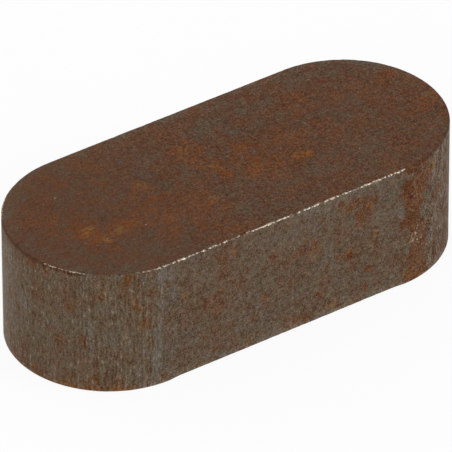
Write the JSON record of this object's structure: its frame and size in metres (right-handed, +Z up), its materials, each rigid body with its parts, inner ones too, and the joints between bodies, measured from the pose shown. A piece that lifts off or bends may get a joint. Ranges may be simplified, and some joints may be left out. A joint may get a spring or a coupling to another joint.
{
  "type": "parallel key",
  "caption": "Flat steel key with two round ends and lightly broken edges, made to lock a hub to a shaft in a keyway; rusty bare steel.",
  "frame": {"origin": "middle of the underside, which rests on the floor of the shaft's keyseat", "axes": "+X along the key's length, +Y across its width, +Z up its height, away from the underside"},
  "size_m": [0.028, 0.012, 0.008],
  "materials": {
    "key_steel": "matte"
  },
  "bodies": {
    "root": {"parallel_key": "key_steel"}
  },
  "joints": []
}
